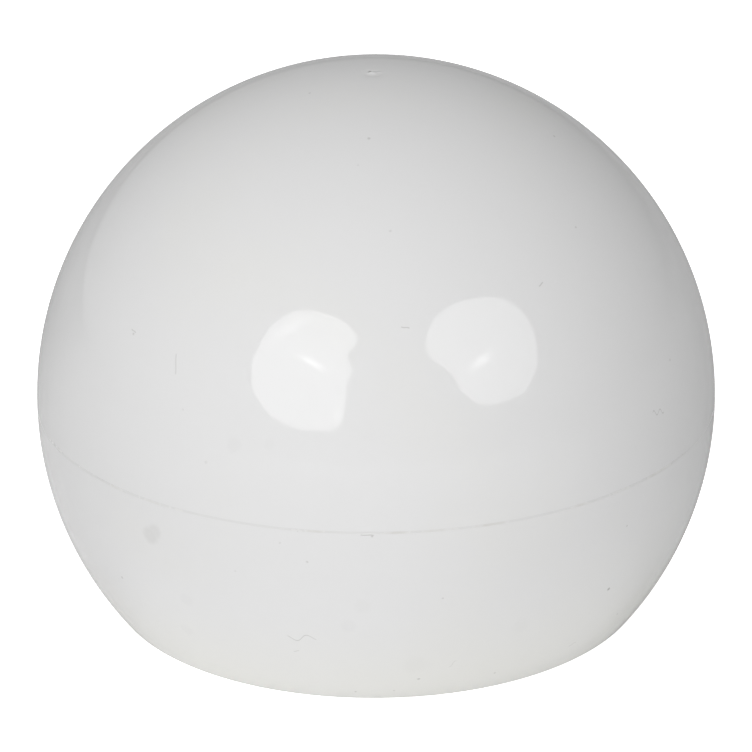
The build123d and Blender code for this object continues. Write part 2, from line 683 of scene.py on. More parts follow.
class AgeingAndWarmReflection(Effect):
    """Slow patches, and a second colour low down, on white plastic.

    On the glossy shells the low colour is a painted warm reflection of the floor, and the
    patches are tone that differs at random; on the socket the low colour is yellowing with time.
    """

    patch_scale: ClassVar[float] = 35.0
    least_low: ClassVar[float] = 0.4
    patch_edges: ClassVar[Pair] = (0.5, 0.75)
    faint_share: ClassVar[float] = 0.35

    name = "ageing"
    takes = {
        "Vector": (VECTOR, None),
        "Fresh": (COLOUR, (0.8, 0.8, 0.8, 1.0)),
        "Aged": (COLOUR, (0.75, 0.74, 0.7, 1.0)),
        "Low": (FLOAT, 0.0),
        "High": (FLOAT, 0.07),
        "Amount": (FLOAT, 0.5),
    }
    gives = {"Color": COLOUR}

    def build(self, graph: Graph, given: Any) -> dict[str, bpy.types.NodeSocket]:
        """More of the second colour low down, broken up by slow noise, and faint patches above."""
        height = graph.add("ShaderNodeSeparateXYZ", {0: given["Vector"]}).outputs["Z"]
        fall = graph.step(height, given["High"], given["Low"])
        patches = graph.noise(given["Vector"], self.patch_scale, detail=3.0)
        mixed = graph.math("MULTIPLY", fall, graph.math("ADD", patches, self.least_low))
        faint = graph.math("MULTIPLY", graph.step(patches, *self.patch_edges), self.faint_share)
        both = graph.math("ADD", mixed, faint)
        share = graph.math("MULTIPLY", both, given["Amount"], clamp=True)
        return {"Color": graph.mix(share, given["Fresh"], given["Aged"])}


# ---- marks of use, and painted shade in the gate's pit ------------------------------


class MarkKind(Enum):
    """What a single mark on the ball is."""

    STAIN = "stain"
    SPECK = "speck"
    FIBRE = "fibre"


@dataclass(frozen=True)
class Mark:
    """A single mark on the ball's outside."""

    kind: MarkKind
    azimuth: float
    elevation: float
    size: float
    strength: float
    turn: float = 0.0
    sway: float = 0.0
    waves: float = 1.0

    blurs: ClassVar[dict[MarkKind, float]] = {MarkKind.STAIN: 0.6, MarkKind.SPECK: 0.85}
    under_surface: ClassVar[float] = 0.3 * MM

    def mask(
        self,
        graph: Graph,
        place: bpy.types.NodeSocket,
        bends: dict[MarkKind, bpy.types.NodeSocket],
        sizes: CapSizes,
    ) -> bpy.types.NodeSocket:
        """Where the mark is, times how strongly it shows.

        Args:
            graph: the material's tree.
            place: the object coordinates.
            bends: how far each kind of spot's outline is bent.
            sizes: of the cap.

        Returns:
            A socket between 0 and the mark's strength.
        """
        if self.kind is MarkKind.FIBRE:
            lean = (math.radians(-self.elevation), 0.0, math.radians(self.azimuth))
            turned = graph.add(
                "ShaderNodeMapping",
                {"Vector": place, "Location": sizes.centre, "Rotation": lean},
                vector_type="TEXTURE",
            )
            made = Fibre().place(
                graph,
                Vector=turned.outputs[0],
                Turn=math.radians(self.turn),
                Length=self.size,
                Sway=self.sway,
                Waves=self.waves,
                Reach=sizes.ball - self.under_surface,
            )
        else:
            centre = sizes.centre + sizes.ball * direction(self.azimuth, self.elevation)
            made = Spot().place(
                graph,
                Vector=place,
                Centre=centre,
                Radius=self.size / 2,
                Blur=self.blurs[self.kind],
                Bend=bends[self.kind],
            )
        return graph.math("MULTIPLY", made["Mask"], self.strength)


# ---- finishes -----------------------------------------------------------------------


@dataclass(frozen=True)
class Finish:
    """A finish that a piece is dressed in."""

    name: str
    ior: ClassVar[float] = 1.5

    def start(self) -> tuple[bpy.types.Material, Graph, bpy.types.Node, bpy.types.NodeSocket]:
        """Makes an empty node material.

        Returns:
            The material, its graph, its Principled shader and the object coordinates.
        """
        material = bpy.data.materials.new(self.name)
        material.use_nodes = True
        graph = Graph(material.node_tree)
        shader = material.node_tree.nodes["Principled BSDF"]
        graph.feed(shader.inputs["IOR"], self.ior)
        place = graph.add("ShaderNodeTexCoord").outputs["Object"]
        return material, graph, shader, place

    def bump(self, graph: Graph, shader: bpy.types.Node, height: Any, depth: float) -> None:
        """Gives the shader a relief from a height between 0 and 1."""
        node = graph.add("ShaderNodeBump", {"Height": height, "Distance": depth, "Strength": 1.0})
        graph.feed(shader.inputs["Normal"], node.outputs[0])


@dataclass(frozen=True)
class GlossPlastic(Finish):
    """White glossy moulded plastic with marks of storage on it.

    Its low part is tinted warm as a painted reflection of the floor, and one mark is painted
    shade in the gate mark's pit.
    """

    sizes: CapSizes
    marks: tuple[Mark, ...] = ()
    fresh: Colour = (0.82, 0.82, 0.82)
    # Painted warm reflection of the floor: this colour is mixed in low on the ball.
    aged_and_reflected_tint: Colour = (0.82, 0.818, 0.785)
    # Colour of dust and marks, and of the painted shade in the gate mark's pit.
    dirt_and_shade: Colour = (0.20, 0.19, 0.17)
    # Height up to which the painted warm reflection of the floor reaches.
    warm_reflection_up_to: float = 15.0 * MM
    roughness: float = 0.035
    scuffed: float = 0.105
    dusty: float = 0.35
    blotch_scale: float = 55.0
    line_wear: float = 0.5
    blotch_wear: float = 0.35
    dirt_wear: float = 0.4
    line_depth: float = 0.05
    dirt_height: float = 0.3
    relief: float = 0.02 * MM

    outline_noise: ClassVar[dict[MarkKind, Pair]] = {
        MarkKind.STAIN: (800.0, 0.5),
        MarkKind.SPECK: (4000.0, 0.9),
    }

    def material(self) -> bpy.types.Material:
        """Builds the material."""
        material, graph, shader, place = self.start()
        # Painted warm reflection of the floor, strongest at the bottom of the ball.
        colour = AgeingAndWarmReflection().place(
            graph,
            Vector=place,
            Fresh=(*self.fresh, 1.0),
            Aged=(*self.aged_and_reflected_tint, 1.0),
            High=self.warm_reflection_up_to,
            Amount=1.0,
        )["Color"]
        dust = Dust().place(graph, Vector=place)["Mask"]
        dirt_and_pit_shade = graph.math("MULTIPLY", dust, self.dusty)
        bends = {
            kind: graph.math("MULTIPLY_ADD", graph.noise(place, scale), amount, -0.5 * amount)
            for kind, (scale, amount) in self.outline_noise.items()
        }
        for mark in self.marks:
            dirt_and_pit_shade = graph.math("MAXIMUM", dirt_and_pit_shade, mark.mask(graph, place, bends, self.sizes))
        # Dust and marks darken the colour; one mark is painted shade in the gate mark's pit.
        colour = graph.mix(dirt_and_pit_shade, colour, self.dirt_and_shade)
        graph.feed(shader.inputs["Base Color"], colour)

        lines = Hairlines().place(graph, Vector=place)["Mask"]
        blotches = graph.noise(place, self.blotch_scale, detail=3.0)
        blotched = graph.math("MULTIPLY", blotches, self.blotch_wear)
        worn = graph.math("MULTIPLY_ADD", lines, self.line_wear, blotched)
        rough = graph.math("MULTIPLY_ADD", worn, self.scuffed - self.roughness, self.roughness)
        rough = graph.math("MULTIPLY_ADD", dirt_and_pit_shade, self.dirt_wear, rough)
        graph.feed(shader.inputs["Roughness"], rough)

        skin = MouldSkin().place(graph, Vector=place)["Height"]
        cut = graph.math("MULTIPLY_ADD", lines, -self.line_depth, skin)
        height = graph.math("MULTIPLY_ADD", dirt_and_pit_shade, self.dirt_height, cut)
        self.bump(graph, shader, height, self.relief)
        return material


@dataclass(frozen=True)
class SatinPlastic(Finish):
    """Natural white satin plastic, as the mould's core leaves it."""

    sizes: CapSizes
    fresh: Colour = (0.80, 0.79, 0.77)
    aged_and_reflected_tint: Colour = (0.75, 0.735, 0.70)
    dragged: Colour = (0.5, 0.49, 0.45)
    yellowing: float = 0.7
    drag_scale: float = 900.0
    drag_draw: float = 0.04
    drag_share: float = 0.06
    drag_height: float = 0.5
    roughness: float = 0.38
    drag_wear: float = 0.2
    relief: float = 0.02 * MM

    def material(self) -> bpy.types.Material:
        """Builds the material."""
        material, graph, shader, place = self.start()
        colour = AgeingAndWarmReflection().place(
            graph,
            Vector=place,
            Fresh=(*self.fresh, 1.0),
            Aged=(*self.aged_and_reflected_tint, 1.0),
            High=self.sizes.socket_top,
            Amount=self.yellowing,
        )["Color"]
        drawn = graph.add(
            "ShaderNodeMapping", {"Vector": place, "Scale": (1.0, 1.0, self.drag_draw)}
        )
        marks = graph.noise(drawn.outputs[0], self.drag_scale)
        share = graph.math("MULTIPLY", marks, self.drag_share)
        colour = graph.mix(share, colour, self.dragged)
        graph.feed(shader.inputs["Base Color"], colour)
        rough = graph.math("MULTIPLY_ADD", marks, self.drag_wear, self.roughness)
        graph.feed(shader.inputs["Roughness"], rough)
        grain = MouldSkin().place(
            graph, Vector=place, Wave_Scale=500.0, Peel_Scale=3000.0, Peel=0.6
        )["Height"]
        height = graph.math("MULTIPLY_ADD", marks, self.drag_height, grain)
        self.bump(graph, shader, height, self.relief)
        return material


@dataclass(frozen=True)
class SetCement(Finish):
    """Solvent cement that has set, a little yellow, with grime caught on it."""

    clean: Colour = (0.785, 0.785, 0.78)
    grimy: Colour = (0.71, 0.705, 0.685)
    patch_scale: float = 220.0
    patch_edges: Pair = (0.5, 0.7)
    roughness: float = 0.25
    grime_wear: float = 0.35
    bead_scale: float = 1800.0
    relief: float = 0.01 * MM

    def material(self) -> bpy.types.Material:
        """Builds the material."""
        material, graph, shader, place = self.start()
        patches = graph.noise(place, self.patch_scale, detail=3.0, rough=0.6)
        caught = graph.step(patches, *self.patch_edges)
        colour = graph.mix(caught, self.clean, self.grimy)
        graph.feed(shader.inputs["Base Color"], colour)
        rough = graph.math("MULTIPLY_ADD", caught, self.grime_wear, self.roughness)
        graph.feed(shader.inputs["Roughness"], rough)
        self.bump(graph, shader, graph.noise(place, self.bead_scale), self.relief)
        return material


# ---- pieces -------------------------------------------------------------------------


@dataclass
class Piece:
    """A piece of the cap: builds its mesh, dresses it and puts it in the frame."""

    sizes: CapSizes
    node: ClassVar[str]
    slot: ClassVar[str]

    def build(self) -> bpy.types.Object:
        """Builds the finished mesh as an object at the origin."""
        raise NotImplementedError

    def place(self, finish: bpy.types.Material) -> bpy.types.Object:
        """Builds the piece, dresses it, and stands it in for its CAD node.

        Args:
            finish: the material that it is dressed in.

        Returns:
            The object.
        """
        piece = self.build()
        piece.data.materials.clear()
        piece.data.materials.append(finish)
        smooth(piece)
        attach(piece, "root")
        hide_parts(self.node)
        log.info("%s: %d faces", piece.name, len(piece.data.polygons))
        return piece


@dataclass
class UpperShell(Piece):
    """The dome, with its gate mark outside and webs and a hub inside."""

    node = "upper_shell"
    slot = "shell"

    steps: int = 360
    gate_radius: float = 1.3 * MM
    gate_rings: int = 13
    gate_sink: float = 0.03 * MM
    gate_fade: float = 0.3
    tear_scale: float = 2400.0
    tear_share: float = 0.3
    web_count: int = 6
    web_width: float = 1.6 * MM
    hub_radius: float = 7.0 * MM
    hub_wall: float = 1.6 * MM
    hub_steps: int = 96
    edge_round: float = 0.3 * MM

    def outline(self) -> list[Point]:
        """Half section of the dome, from the pole down and back up to the dome's inside."""
        s = self.sizes
        start = math.acos(self.gate_radius / s.ball)
        pole = arc(s.equator, s.ball, math.pi / 2, start, self.gate_rings)[:-1]
        end = math.asin(s.groove_half_height / s.ball)
        outside = arc(s.equator, s.ball, start, end, 72)
        rebate = s.lap_height + s.lap_gap
        joint = [
            (s.ball - s.groove_depth, s.equator),
            (s.spigot + s.lap_gap, s.equator),
            (s.spigot + s.lap_gap, s.equator + rebate),
        ]
        inside = arc(s.equator, s.inner, math.asin(rebate / s.inner), math.pi / 2, 40)
        return pole + outside + joint + inside

    def tear(self, place: Vector) -> Vector:
        """Shapes the gate mark: a low torn ridge and stub in a shallow dish, with a pit beside.

        Args:
            place: a point of the mesh.

        Returns:
            How far the point moves.
        """
        s = self.sizes
        off_axis = math.hypot(place.x, place.y)
        if off_axis > self.gate_radius or place.z < s.equator + s.middle:
            return Vector()

        def bump(x: float, y: float, wide: float, deep: float) -> float:
            """A rounded heap, 1 high, at a place in plan given in millimetres."""
            across, along = (place.x / MM - x) / wide, (place.y / MM - y) / deep
            return math.exp(-across * across - along * along)

        fade = min(1.0, (self.gate_radius - off_axis) / (self.gate_fade * self.gate_radius))
        rough = self.tear_share * noise.noise(Vector((place.x, place.y, 0)) * self.tear_scale)
        heap = 0.18 * bump(-0.15, 0.25, 0.5, 0.38) + 0.08 * bump(0.7, 0.6, 0.35, 0.3)
        pit = 0.12 * bump(-0.42, 0.92, 0.16, 0.2)
        lift = (heap * (1.0 + rough) - pit) * MM - self.gate_sink
        return Vector((0, 0, min(fade * lift, s.top - place.z)))

    def webs(self) -> bpy.types.Object:
        """Six plates from the hub out to the dome."""
        s = self.sizes
        bottom = s.socket_top + s.seat_gap
        middle = self.hub_radius - self.hub_wall / 2
        low = math.asin((bottom - s.equator) / s.middle)
        vault = arc(s.equator, s.middle, low, math.acos(middle / s.middle), 24)
        plates = Turned().plate([(middle, bottom)] + vault, self.web_width)
        top = bottom + NEAR
        plates.round_edges(lambda edge: all(v.co.z < top for v in edge.verts), self.edge_round)
        return plates.repeat(self.web_count).clean().object("webs")

    def hub(self) -> bpy.types.Object:
        """The ring in the middle that the webs meet at."""
        s = self.sizes
        bottom = s.socket_top + s.seat_gap
        bore = self.hub_radius - self.hub_wall
        edge = self.edge_round
        ring = [
            (bore, bottom + edge),
            (bore + edge, bottom),
            (self.hub_radius - edge, bottom),
            (self.hub_radius, bottom + edge),
            (self.hub_radius, s.equator + s.height_at(s.middle, self.hub_radius)),
            (bore, s.equator + s.height_at(s.middle, bore)),
        ]
        return Turned().turn(ring, self.hub_steps, closed=True).object("hub")

    def build(self) -> bpy.types.Object:
        """Turns the dome, then fuses hub and webs to its inside."""
        dome = Turned().turn(self.outline(), self.steps, closed=False).push(self.tear)
        piece = dome.object("dome_shell")
        fuse(piece, self.hub())
        fuse(piece, self.webs())
        return piece


@dataclass
class LowerShell(Piece):
    """The bowl, with its rim, mouth, ledge and spigot, and forks for the socket's fins."""

    node = "lower_shell"
    slot = "shell"

    steps: int = 360
    rim_round: float = 0.8 * MM
    rim_steps: int = 8
    fork_count: int = 6
    fork_width: float = 1.5 * MM
    fork_sunk: float = 0.4 * MM
    fork_round: float = 0.25 * MM

    def outline(self) -> list[Point]:
        """Closed half section of the bowl."""
        s = self.sizes
        fillet = self.rim_round
        reach = s.ball - fillet
        drop = s.equator - fillet
        middle = math.sqrt(reach**2 - drop**2)
        leave = -math.asin(drop / reach)
        rounded = [
            (middle + radius, height)
            for radius, height in arc(fillet, fillet, leave, -math.pi / 2, self.rim_steps)
        ]
        start = -math.asin(s.groove_half_height / s.ball)
        outside = arc(s.equator, s.ball, start, leave, 34)[:-1]
        mouth = [
            (s.bore + MOUTH_CHAMFER, 0.0),
            (s.bore, MOUTH_CHAMFER),
            (s.bore, s.seat),
        ]
        low = -math.asin((s.equator - s.seat) / s.inner)
        inside = arc(s.equator, s.inner, low, 0.0, 30)
        spigot = [
            (s.inner, s.equator + s.lap_height),
            (s.spigot, s.equator + s.lap_height),
            (s.spigot, s.equator),
            (s.ball - s.groove_depth, s.equator),
        ]
        return outside + rounded + mouth + inside + spigot

    def forks(self) -> bpy.types.Object:
        """Six pairs of plates that the socket's fins stand between."""
        s = self.sizes
        pocket = s.socket_outer + s.seat_gap
        root = s.seat - self.fork_sunk
        low = -math.asin((s.equator - root) / s.middle)
        wall = arc(s.equator, s.middle, low, -math.asin(s.fork_top_drop / s.middle), 20)
        outline = wall + [(pocket, wall[-1][1]), (pocket, root)]
        aside = (s.fin_width + self.fork_width) / 2 + s.seat_gap
        plates = Turned()
        for side in (aside, -aside):
            plates.plate(outline, self.fork_width, side)
        top = wall[-1][1] - NEAR
        plates.round_edges(lambda edge: all(v.co.z > top for v in edge.verts), self.fork_round)
        return plates.repeat(self.fork_count).clean().object("forks")

    def build(self) -> bpy.types.Object:
        """Turns the bowl and fuses the forks to its inside."""
        piece = Turned().turn(self.outline(), self.steps, closed=True).object("bowl_shell")
        fuse(piece, self.forks())
        return piece


@dataclass
class PostSocket(Piece):
    """The cup that takes the post: guide band, crush ribs, closed end and fins."""

    node = "post_socket"
    slot = "socket"

    steps: int = 240
    lead_in: float = 0.6 * MM
    shoulder: float = 1.0 * MM
    rib_count: int = 12
    rib_bite: float = 0.6 * MM
    rib_width: float = 1.8 * MM
    rib_ramp: float = 4.0 * MM
    rib_start: float = 2.0 * MM
    fin_count: int = 6
    ejector_count: int = 4
    ejector_radius: float = 3.0 * MM
    ejector_circle: float = 18.0 * MM
    ejector_depth: float = 0.2 * MM
    corner: float = 0.5 * MM
    band_edge: float = 0.15 * MM
    foot_edge: float = 0.2 * MM
    rib_round: float = 0.35 * MM
    fin_round: float = 0.25 * MM

    def outline(self) -> list[Point]:
        """Half section of the cup, from its stop to its top."""
        s = self.sizes
        return [
            (0.0, s.stop),
            (s.relieved - self.corner, s.stop),
            (s.relieved, s.stop - self.corner),
            (s.relieved, s.guide_top + self.band_edge),
            (s.bore + self.band_edge, s.guide_top),
            (s.bore, s.guide_top - self.band_edge),
            (s.bore, s.seat + self.lead_in),
            (s.bore + self.lead_in, s.seat),
            (s.socket_outer - self.foot_edge, s.seat),
            (s.socket_outer, s.seat + self.foot_edge),
            (s.socket_outer, s.socket_top - self.shoulder),
            (s.socket_outer - self.shoulder, s.socket_top),
            (0.0, s.socket_top),
        ]

    def ribs(self) -> bpy.types.Object:
        """Twelve ribs that the post crushes as it goes in."""
        s = self.sizes
        root = s.relieved + s.socket_wall / 2
        tip = s.bore - self.rib_bite
        foot = s.guide_top + self.rib_start
        sunk = s.stop + self.corner
        outline = [
            (root, foot),
            (s.relieved, foot),
            (tip, foot + self.rib_ramp),
            (tip, sunk),
            (root, sunk),
        ]
        ribs = Turned().plate(outline, self.rib_width)
        ribs.round_edges(
            lambda edge: all(v.co.x < tip + NEAR for v in edge.verts)
            and abs(edge.verts[0].co.y - edge.verts[1].co.y) < MERGE,
            self.rib_round,
            segments=4,
        )
        return ribs.repeat(self.rib_count, 180 / self.rib_count).clean().object("ribs")

    def fins(self) -> bpy.types.Object:
        """Six fins outside that stand in the lower shell's forks."""
        s = self.sizes
        root = s.relieved + s.socket_wall / 2
        low = s.equator - s.height_at(s.inner, s.fin_outer + s.seat_gap)
        high = s.equator - s.fork_top_drop
        outline = [(root, low), (s.fin_outer, low), (s.fin_outer, high), (root, high)]
        fins = Turned().plate(outline, s.fin_width)
        outer = s.fin_outer - NEAR
        fins.round_edges(lambda edge: all(v.co.x > outer for v in edge.verts), self.fin_round)
        return fins.repeat(self.fin_count).clean().object("fins")

    def ejector_marks(self) -> bpy.types.Object:
        """Shallow round marks in the stop, to be cut out."""
        s = self.sizes
        pins = Turned()
        at = Vector((self.ejector_circle, 0, 0))
        pins.post(self.ejector_radius, s.stop - 1 * MM, s.stop + self.ejector_depth, at)
        return pins.repeat(self.ejector_count, 45.0).clean().object("pins")

    def build(self) -> bpy.types.Object:
        """Turns the cup, fuses ribs and fins to it, and cuts the ejector marks."""
        piece = Turned().turn(self.outline(), self.steps, closed=False).object("post_cup")
        fuse(piece, self.ribs())
        fuse(piece, self.fins())
        fuse(piece, self.ejector_marks(), "DIFFERENCE")
        return piece


@dataclass
class SeamCement(Piece):
    """The ring of cement in the V between the shells, uneven as it squeezed out."""

    node = "seam_cement"
    slot = "cement"

    steps: int = 960
    recess: float = 0.022 * MM
    crown: float = 0.008 * MM
    shoulder: float = 0.006 * MM
    slow: Pair = (9.0, 0.012)
    quick: Pair = (60.0, 0.008)
    wander: Pair = (24.0, 0.012)
    sink_azimuth: float = -1.5
    sink_width: float = 0.02
    sink_depth: float = 0.04

    def outline(self) -> list[Point]:
        """The ring's section: the V that it fills, with a crowned face."""
        s = self.sizes
        face = s.ball - self.recess
        half = s.groove_half_height * (s.groove_depth - self.recess) / s.groove_depth
        return [
            (s.ball - s.groove_depth, s.equator),
            (face, s.equator - half),
            (face + self.shoulder, s.equator - 0.5 * half),
            (face + self.crown, s.equator),
            (face + self.shoulder, s.equator + 0.5 * half),
            (face, s.equator + half),
        ]

    def squeeze(self, place: Vector) -> Vector:
        """Lets the face wander in and out and the ring up and down, and sinks it in front.

        Args:
            place: a point of the mesh.

        Returns:
            How far the point moves.
        """
        s = self.sizes
        out = Vector((place.x, place.y, 0)).normalized()
        share = (math.hypot(place.x, place.y) - s.ball + s.groove_depth) / s.groove_depth
        swell = sum(depth * noise.noise(out * scale) for scale, depth in (self.slow, self.quick))
        off = (out - direction(self.sink_azimuth, 0)).length / self.sink_width
        swell -= self.sink_depth * math.exp(-off * off)
        scale, height = self.wander
        up = Vector((0, 0, height * noise.noise(out * scale + Vector((0, 0, 5)))))
        return (out * swell + up) * share * MM

    def build(self) -> bpy.types.Object:
        """Turns the ring and squeezes it."""
        ring = Turned().turn(self.outline(), self.steps, closed=True).push(self.squeeze)
        return ring.object("cement_ring")


# ---- studio -------------------------------------------------------------------------


@dataclass(frozen=True)
class Streak:
    """A brighter patch on a softbox's cloth."""

    at: Point
    size: Pair
    turn: float
    gain: float


@dataclass
class Softbox:
    """A softbox 1 m away that only reflections show, its lamp a brighter streak in the cloth."""

    name: str
    azimuth: float
    elevation: float
    glow: float
    corners: tuple[Point, ...]
    streaks: tuple[Streak, ...]
    corner_round: float = 0.03

    def build(self, sizes: CapSizes) -> bpy.types.Object:
        """Builds the glowing panel, facing the ball.

        Args:
            sizes: of the cap, for the ball's centre.

        Returns:
            The panel.
        """
        bm = bmesh.new()
        bm.faces.new([bm.verts.new((x, y, 0)) for x, y in self.corners])
        bmesh.ops.bevel(
            bm,
            geom=bm.verts[:],
            offset=self.corner_round,
            affect="VERTICES",
            segments=4,
            profile=0.5,
            material=-1,
            clamp_overlap=True,
        )
        out = direction(self.azimuth, self.elevation)
        across = Vector((0, 0, 1)).cross(out).normalized()
        facing = Matrix((across, out.cross(across), out)).transposed()
        centre = sizes.centre + out
        bmesh.ops.transform(
            bm, matrix=Matrix.Translation(centre) @ facing.to_4x4(), verts=bm.verts[:]
        )
        mesh = bpy.data.meshes.new(self.name)
        bm.to_mesh(mesh)
        bm.free()
        panel = link(bpy.data.objects.new(self.name, mesh))
        panel.visible_camera = False
        panel.visible_diffuse = False
        panel.visible_shadow = False
        mesh.materials.append(self.cloth(centre, facing))
        return panel

    def cloth(self, centre: Vector, facing: Matrix) -> bpy.types.Material:
        """The panel's glow: even, with brighter streaks.

        Args:
            centre: the panel's middle.
            facing: its axes, as columns.

        Returns:
            The material.
        """
        material = bpy.data.materials.new(self.name)
        graph = blank(material)
        place = graph.add("ShaderNodeTexCoord").outputs["Object"]
        flat = graph.add(
            "ShaderNodeMapping",
            {"Vector": place, "Location": centre, "Rotation": facing.to_euler()},
            vector_type="TEXTURE",
        )
        glow: Any = self.glow
        for streak in self.streaks:
            near = graph.add(
                "ShaderNodeMapping",
                {
                    "Vector": flat.outputs[0],
                    "Location": (*streak.at, 0),
                    "Rotation": (0, 0, math.radians(streak.turn)),
                    "Scale": (*streak.size, 1.0),
                },
                vector_type="TEXTURE",
            )
            length = graph.add("ShaderNodeVectorMath", {0: near.outputs[0]}, operation="LENGTH")
            hot = graph.step(length.outputs["Value"], 1.0, 0.0)
            glow = graph.math("MULTIPLY_ADD", hot, streak.gain * self.glow, glow)
        light = graph.add("ShaderNodeEmission", {"Color": (1, 1, 1, 1), "Strength": glow})
        graph.add("ShaderNodeOutputMaterial", {"Surface": light.outputs[0]})
        return material


@dataclass
class Fill:
    """A large soft light that leaves no reflection of its own."""

    name: str
    azimuth: float
    elevation: float
    glow: float
    size: float = 1.6
    distance: float = 1.6

    def build(self, sizes: CapSizes) -> bpy.types.Object:
        """Builds the light, facing the ball.

        Args:
            sizes: of the cap, for the ball's centre.

        Returns:
            The light.
        """
        data = bpy.data.lights.new(self.name, "AREA")
        data.shape = "DISK"
        data.size = self.size
        data.energy = self.glow * math.pi * math.pi * (self.size / 2) ** 2
        lamp = link(bpy.data.objects.new(self.name, data))
        out = direction(self.azimuth, self.elevation)
        lamp.location = sizes.centre + out * self.distance
        lamp.rotation_euler = out.to_track_quat("Z", "Y").to_euler()
        lamp.visible_glossy = False
        lamp.visible_camera = False
        return lamp


@dataclass
class Studio:
    """Pale floor, soft lights, and the camera."""

    sizes: CapSizes
    ambient: float = 0.2
    mirrored: float = 0.49
    mirror_fall: float = 0.35
    mirror_bright: Triple = (-0.57, -0.32, -0.75)
    backdrop: float = 1.1
    floor_drop: float = 0.05 * MM
    floor_colour: Colour = (0.86, 0.86, 0.86)
    floor_glow: float = 0.14
    floor_lift: float = 0.8
    floor_mirrored: float = 0.35
    floor_dimmed: float = 0.37
    dim_skew: float = 0.5
    dim_from_to: Pair = (-0.03, 0.08)
    near_out_in: Pair = (0.08, 0.04)
    near_back_front: Pair = (-0.01, -0.03)
    tooth_colour: Colour = (0.7, 0.7, 0.69)
    tooth_scale: float = 2500.0
    tooth_share: float = 0.03
    camera_elevation: float = 22.96
    camera_distance: float = 16.035
    camera_roll: float = -0.48
    lens: float = 259.8
    sensor: float = 36.0
    shift_up: float = 0.0227
    softboxes: list[Softbox] = field(
        default_factory=lambda: [
            Softbox(
                "softbox_left",
                -26.3,
                28.2,
                glow=2.8,
                corners=(
                    (-0.07, 0.345), (0.08, 0.345), (0.17, 0.32), (0.24, 0.27), (0.27, 0.22),
                    (0.21, 0.13), (0.28, 0.05), (0.25, -0.03), (0.27, -0.14), (0.27, -0.26),
                    (0.22, -0.32),
                    (0.0, -0.34), (-0.16, -0.29), (-0.29, -0.17), (-0.325, 0.0), (-0.27, 0.20),
                    (-0.17, 0.31),
                ),
                streaks=(
                    Streak((0.035, 0.05), (0.11, 0.028), -16.0, 1.2),
                    Streak((-0.14, 0.22), (0.20, 0.05), 42.0, 0.45),
                    Streak((0.02, 0.06), (0.26, 0.10), -20.0, 0.15),
                    Streak((0.23, -0.22), (0.05, 0.05), 0.0, 0.5),
                ),
            ),
            Softbox(
                "softbox_right",
                42.3,
                32.1,
                glow=2.3,
                corners=(
                    (0.12, 0.25), (0.25, 0.20), (0.33, 0.08), (0.345, -0.04), (0.30, -0.20),
                    (0.17, -0.32), (-0.02, -0.33), (-0.14, -0.30), (-0.22, -0.19), (-0.22, -0.10),
                    (-0.33, 0.05), (-0.31, 0.15), (-0.20, 0.25), (-0.04, 0.28),
                ),
                streaks=(
                    Streak((-0.04, -0.07), (0.11, 0.04), 14.0, 1.25),
                    Streak((-0.06, -0.12), (0.26, 0.18), 30.0, 0.14),
                ),
            ),
        ]
    )
    fills: list[Fill] = field(
        default_factory=lambda: [
            Fill("fill_front", -4.0, 25.0, glow=0.54),
            Fill("fill_low", -4.0, 3.0, glow=0.93),
            Fill("fill_left", -40.0, 35.0, glow=0.74),
            Fill("fill_high", 0.0, 55.0, glow=1.0),
            Fill("fill_top", 0.0, 85.0, glow=0.72),
            Fill("fill_back_left", -135.0, 30.0, glow=0.2),
            Fill("fill_back_right", 135.0, 30.0, glow=0.08),
            Fill("fill_mouth", 0.0, -90.0, glow=0.6, size=0.056, distance=0.025),
        ]
    )

    def floor(self) -> bpy.types.Object:
        """A wide pale floor that nothing shows through from above."""
        bm = bmesh.new()
        drop = Matrix.Translation((0.0, 0.0, -self.floor_drop))
        bmesh.ops.create_grid(bm, x_segments=1, y_segments=1, size=4.0, matrix=drop)
        mesh = bpy.data.meshes.new("floor")
        bm.to_mesh(mesh)
        bm.free()
        floor = link(bpy.data.objects.new("floor", mesh))
        mesh.materials.append(self.paper())
        return floor

    def paper(self) -> bpy.types.Material:
        """The floor's white paper, clear from below.

        Reflections show it darker behind the cap, and brighter close in front of it.

        Returns:
            The material.
        """
        material = bpy.data.materials.new("floor paper")
        graph = blank(material)
        place = graph.add("ShaderNodeTexCoord").outputs["Object"]
        tooth = graph.math("MULTIPLY", graph.noise(place, self.tooth_scale), self.tooth_share)
        colour = graph.mix(tooth, self.floor_colour, self.tooth_colour)
        path = graph.add("ShaderNodeLightPath").outputs
        axes = graph.add("ShaderNodeSeparateXYZ", {0: place}).outputs
        depth = graph.math("MULTIPLY_ADD", axes["X"], self.dim_skew, axes["Y"])
        behind = graph.math("MULTIPLY", path["Is Glossy Ray"], graph.step(depth, *self.dim_from_to))
        kept = graph.math("MULTIPLY_ADD", behind, -self.floor_dimmed, 1.0)
        colour = graph.mix(1.0, colour, kept, blend="MULTIPLY")
        paper = graph.add("ShaderNodeBsdfDiffuse", {"Color": colour})
        away = graph.add("ShaderNodeVectorMath", {0: place}, operation="LENGTH").outputs["Value"]
        near = graph.math("MULTIPLY", path["Is Glossy Ray"], graph.step(away, *self.near_out_in))
        near = graph.math("MULTIPLY", near, graph.step(axes["Y"], *self.near_back_front))
        lift = graph.math("MULTIPLY_ADD", path["Is Camera Ray"], self.floor_lift, self.floor_glow)
        lift = graph.math("MULTIPLY", lift, kept)
        lift = graph.math("MULTIPLY_ADD", near, self.floor_mirrored, lift)
        glow = graph.add("ShaderNodeEmission", {"Color": (1, 1, 1, 1), "Strength": lift})
        both = graph.add("ShaderNodeAddShader", {0: paper.outputs[0], 1: glow.outputs[0]})
        clear = graph.add("ShaderNodeBsdfTransparent")
        under = graph.add("ShaderNodeNewGeometry").outputs["Backfacing"]
        sheet = graph.add(
            "ShaderNodeMixShader", {0: under, 1: both.outputs[0], 2: clear.outputs[0]}
        )
        graph.add("ShaderNodeOutputMaterial", {"Surface": sheet.outputs[0]})
        return material

